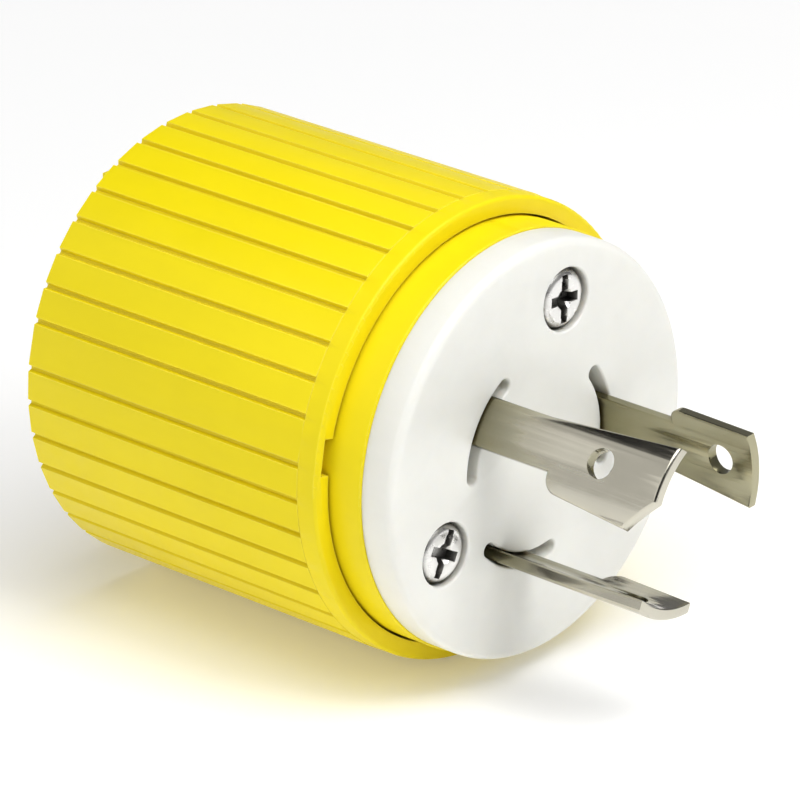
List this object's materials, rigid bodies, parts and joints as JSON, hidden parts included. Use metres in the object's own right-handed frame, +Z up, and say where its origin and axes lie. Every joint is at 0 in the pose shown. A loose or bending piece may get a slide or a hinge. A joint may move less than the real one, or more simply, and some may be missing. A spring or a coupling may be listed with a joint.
{
  "type": "locking power plug",
  "caption": "Locking three-blade cord plug head with a ribbed yellow shell, white face, inner screw terminals and a rear cord clamp.",
  "frame": {"origin": "centre of the front face of the white face body, on the plug's axis", "axes": "+X along the plug's axis towards the blades' tips, +Z up, +Y to the right of someone facing the blades"},
  "size_m": [0.0903, 0.056, 0.056],
  "materials": {
    "yellow_nylon": "satin",
    "white_nylon": "satin",
    "black_nylon": "satin",
    "nickel_brass": "polished",
    "bare_brass": "satin",
    "plated_steel": "polished",
    "green_steel": "dyed",
    "brass_steel": "plated",
    "neoprene": "matte",
    "fibre": "matte"
  },
  "bodies": {
    "shell": {"outer_shell": "yellow_nylon", "shell_inserts": "bare_brass", "cord_grommet": "neoprene"},
    "interior": {"front_collar": "yellow_nylon", "face_body": "white_nylon", "terminal_body": "white_nylon", "screw_washers": "fibre", "ground_blade": "nickel_brass", "line_blade": "nickel_brass", "neutral_blade": "nickel_brass"},
    "assembly_screw_upper": {"assembly_screw_upper": "plated_steel"},
    "assembly_screw_left": {"assembly_screw_left": "plated_steel"},
    "assembly_screw_right": {"assembly_screw_right": "plated_steel"},
    "ground_clamp_plate": {"ground_clamp_plate": "plated_steel"},
    "ground_terminal_screw": {"ground_terminal_screw": "green_steel"},
    "line_clamp_plate": {"line_clamp_plate": "bare_brass"},
    "line_terminal_screw": {"line_terminal_screw": "brass_steel"},
    "neutral_clamp_plate": {"neutral_clamp_plate": "plated_steel"},
    "neutral_terminal_screw": {"neutral_terminal_screw": "plated_steel"},
    "clamp_jaw_right": {"clamp_jaw_right": "black_nylon"},
    "clamp_jaw_left": {"clamp_jaw_left": "black_nylon", "clamp_inserts": "bare_brass"},
    "clamp_screw_upper": {"clamp_screw_upper": "plated_steel"},
    "clamp_screw_lower": {"clamp_screw_lower": "plated_steel"}
  },
  "joints": [
    {"name": "interior_slide", "type": "slide", "parent": "shell", "child": "interior", "axis": [1, 0, 0], "range_m": [0, 0.04]},
    {"name": "assembly_screw_upper_turn", "type": "hinge", "parent": "interior", "child": "assembly_screw_upper", "pos_m": [0, 0.00433, 0.01737], "axis": [1, 0, 0], "continuous": true},
    {"name": "assembly_screw_left_turn", "type": "hinge", "parent": "interior", "child": "assembly_screw_left", "pos_m": [0, -0.01609, -0.00785], "axis": [1, 0, 0], "continuous": true},
    {"name": "assembly_screw_right_turn", "type": "hinge", "parent": "interior", "child": "assembly_screw_right", "pos_m": [0, 0.01518, -0.00949], "axis": [1, 0, 0], "continuous": true},
    {"name": "ground_clamp_plate_slide", "type": "slide", "parent": "interior", "child": "ground_clamp_plate", "axis": [0, -0.8241, 0.5664], "range_m": [0, 0.003]},
    {"name": "ground_terminal_screw_turn", "type": "hinge", "parent": "ground_clamp_plate", "child": "ground_terminal_screw", "pos_m": [-0.0246, 0, 0], "axis": [0, -0.8241, 0.5664], "range_deg": [0, 1361]},
    {"name": "line_clamp_plate_slide", "type": "slide", "parent": "interior", "child": "line_clamp_plate", "axis": [0, 0.999, 0.0436], "range_m": [0, 0.003]},
    {"name": "line_terminal_screw_turn", "type": "hinge", "parent": "line_clamp_plate", "child": "line_terminal_screw", "pos_m": [-0.0246, 0, 0], "axis": [0, 0.999, 0.0436], "range_deg": [0, 1361]},
    {"name": "neutral_clamp_plate_slide", "type": "slide", "parent": "interior", "child": "neutral_clamp_plate", "axis": [0, -0.3584, -0.9336], "range_m": [0, 0.003]},
    {"name": "neutral_terminal_screw_turn", "type": "hinge", "parent": "neutral_clamp_plate", "child": "neutral_terminal_screw", "pos_m": [-0.0246, 0, 0], "axis": [0, -0.3584, -0.9336], "range_deg": [0, 1361]},
    {"name": "clamp_jaw_right_slide", "type": "slide", "parent": "shell", "child": "clamp_jaw_right", "axis": [0, 1, 0], "range_m": [-0.0017, 0.002]},
    {"name": "clamp_jaw_left_slide", "type": "slide", "parent": "shell", "child": "clamp_jaw_left", "axis": [0, -1, 0], "range_m": [-0.0017, 0.002]},
    {"name": "clamp_screw_upper_turn", "type": "hinge", "parent": "clamp_jaw_right", "child": "clamp_screw_upper", "pos_m": [-0.0597, 0, 0.0128], "axis": [0, 1, 0], "range_deg": [-1542, 1814]},
    {"name": "clamp_screw_lower_turn", "type": "hinge", "parent": "clamp_jaw_right", "child": "clamp_screw_lower", "pos_m": [-0.0597, 0, -0.0128], "axis": [0, 1, 0], "range_deg": [-1542, 1814]}
  ],
  "couplings": [
    {"joint": "ground_terminal_screw_turn", "follows": "ground_clamp_plate_slide", "rad_per_m": 7913.3},
    {"joint": "line_terminal_screw_turn", "follows": "line_clamp_plate_slide", "rad_per_m": 7913.3},
    {"joint": "neutral_terminal_screw_turn", "follows": "neutral_clamp_plate_slide", "rad_per_m": 7913.3},
    {"joint": "clamp_jaw_left_slide", "follows": "clamp_jaw_right_slide", "ratio": 1},
    {"joint": "clamp_screw_upper_turn", "follows": "clamp_jaw_right_slide", "rad_per_m": 15827},
    {"joint": "clamp_screw_lower_turn", "follows": "clamp_jaw_right_slide", "rad_per_m": 15827}
  ]
}
